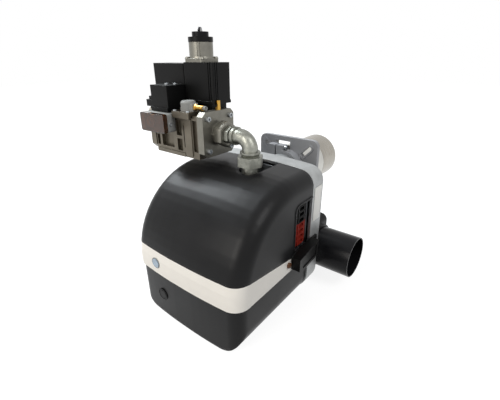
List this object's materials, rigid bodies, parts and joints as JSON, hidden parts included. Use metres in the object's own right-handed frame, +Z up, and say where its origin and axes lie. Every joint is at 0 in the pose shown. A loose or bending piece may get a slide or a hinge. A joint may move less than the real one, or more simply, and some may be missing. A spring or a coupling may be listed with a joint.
{
  "type": "gas burner",
  "caption": "Forced-draught gas burner: black hood with light band, cast housing, blast tube with sliding boiler flange, side air intake, and gas valve on a riser with union and elbow",
  "frame": {"origin": "on the blast tube's axis, where it leaves the boiler side of the flange plate", "axes": "+Y along the blast tube into the boiler, +Z up, +X to the air intake's side"},
  "size_m": [0.393, 0.4728, 0.489],
  "materials": {
    "black_hood_plastic": "satin moulded",
    "light_band": "satin",
    "cast_aluminium": "fine cast",
    "machined_steel": "bright",
    "zinc_plate": "zinc plated",
    "painted_iron": "dark grey paint",
    "galvanised_iron": "hot-dip galvanised",
    "tube_steel": "brushed, warm tint",
    "black_plastic": "matt moulded",
    "gloss_black": "gloss",
    "red_brown_plastic": "matt",
    "grey_plastic": "matt",
    "pale_blue_plastic": "translucent gloss",
    "smoky_clear": "smoky clear plastic",
    "brass": "plain",
    "ceramic": "white ceramic",
    "gasket_fibre": "pressed fibre",
    "motor_paint": "dark paint",
    "brown_plastic": "matt"
  },
  "bodies": {
    "burner": {"housing_pan": "cast_aluminium", "mounting_plate": "zinc_plate", "plate_screws": "zinc_plate", "fan_cover": "cast_aluminium", "motor_body": "motor_paint", "motor_end_bell": "motor_paint", "motor_bearings": "machined_steel", "control_box": "black_plastic", "socket_black": "black_plastic", "socket_brown": "red_brown_plastic", "ignition_transformer": "black_plastic", "air_switch": "grey_plastic", "air_box": "black_plastic", "intake_pipe": "gloss_black", "tube_collar": "tube_steel", "blast_tube": "tube_steel", "gas_head": "machined_steel", "diffuser_disc": "tube_steel", "ignition_electrodes": "ceramic", "flame_electrode": "ceramic", "gas_pipe": "zinc_plate", "union_lower": "galvanised_iron", "elbow": "galvanised_iron", "hex_nipple": "galvanised_iron", "outlet_flange": "cast_aluminium", "inlet_flange": "cast_aluminium", "flange_screws": "zinc_plate", "valve_body": "cast_aluminium", "governor_flange": "cast_aluminium", "governor_cap": "grey_plastic", "test_nipples": "brass", "coil_housing": "black_plastic", "connection_box": "black_plastic", "box_screws": "zinc_plate", "cable_gland": "black_plastic", "gas_switch_body": "grey_plastic", "gas_switch_cover": "smoky_clear", "tower_body": "cast_aluminium", "tower_ring": "black_plastic", "side_bracket": "black_plastic"},
    "hood": {"hood_shell": "black_hood_plastic", "hood_band": "light_band", "hood_plug": "black_plastic", "reset_bezel": "grey_plastic"},
    "hood_screw": {"hood_screw": "brown_plastic"},
    "reset_button": {"reset_button": "pale_blue_plastic"},
    "fan": {"motor_shaft": "machined_steel", "fan_wheel": "zinc_plate"},
    "damper": {"damper_flap": "zinc_plate", "damper_shaft": "machined_steel", "air_knob": "black_plastic"},
    "boiler_flange": {"flange_plate": "painted_iron", "clamp_block": "painted_iron", "flange_gasket": "gasket_fibre"},
    "clamp_screw": {"clamp_screw": "zinc_plate"},
    "union_nut": {"union_nut": "galvanised_iron"},
    "tower_cap": {"tower_cap": "gloss_black"},
    "gas_switch_dial": {"gas_switch_dial": "light_band"},
    "valve_plunger_1": {"valve_plunger_1": "machined_steel"},
    "valve_plunger_2": {"valve_plunger_2": "machined_steel"}
  },
  "joints": [
    {"name": "hood_slide", "type": "slide", "parent": "burner", "child": "hood", "axis": [0, -1, 0], "range_m": [0, 0.25]},
    {"name": "hood_screw_turn", "type": "hinge", "parent": "hood", "child": "hood_screw", "pos_m": [0.125, -0.195, -0.103], "axis": [1, 0, 0], "range_deg": [0, 90]},
    {"name": "reset_press", "type": "slide", "parent": "hood", "child": "reset_button", "axis": [0, 1, 0], "range_m": [0, 0.003], "stiffness_N_per_m": 300, "springref_m": -0.001},
    {"name": "fan_spin", "type": "hinge", "parent": "burner", "child": "fan", "pos_m": [-0.028, -0.138, -0.119], "axis": [0, 1, 0], "continuous": true},
    {"name": "damper_turn", "type": "hinge", "parent": "burner", "child": "damper", "pos_m": [0.08, -0.041, -0.143], "axis": [0, 1, 0], "range_deg": [0, 90]},
    {"name": "flange_slide", "type": "slide", "parent": "burner", "child": "boiler_flange", "axis": [0, -1, 0], "range_m": [0, 0.03]},
    {"name": "clamp_screw_turn", "type": "hinge", "parent": "boiler_flange", "child": "clamp_screw", "pos_m": [0, -0.022, 0.051], "axis": [1, 0, 0], "continuous": true},
    {"name": "union_nut_turn", "type": "hinge", "parent": "burner", "child": "union_nut", "pos_m": [0.034, -0.186, 0.069], "axis": [0, 0, 1], "continuous": true},
    {"name": "tower_cap_turn", "type": "hinge", "parent": "burner", "child": "tower_cap", "pos_m": [-0.09, -0.166, 0.269], "axis": [0, 0, 1], "continuous": true},
    {"name": "gas_switch_dial_turn", "type": "hinge", "parent": "burner", "child": "gas_switch_dial", "pos_m": [-0.15, -0.245, 0.123], "axis": [0, 1, 0], "range_deg": [0, 300]},
    {"name": "plunger_1_lift", "type": "slide", "parent": "burner", "child": "valve_plunger_1", "axis": [0, 0, 1], "range_m": [0, 0.0035], "stiffness_N_per_m": 400, "springref_m": -0.004},
    {"name": "plunger_2_lift", "type": "slide", "parent": "burner", "child": "valve_plunger_2", "axis": [0, 0, 1], "range_m": [0, 0.0035], "stiffness_N_per_m": 400, "springref_m": -0.004}
  ]
}
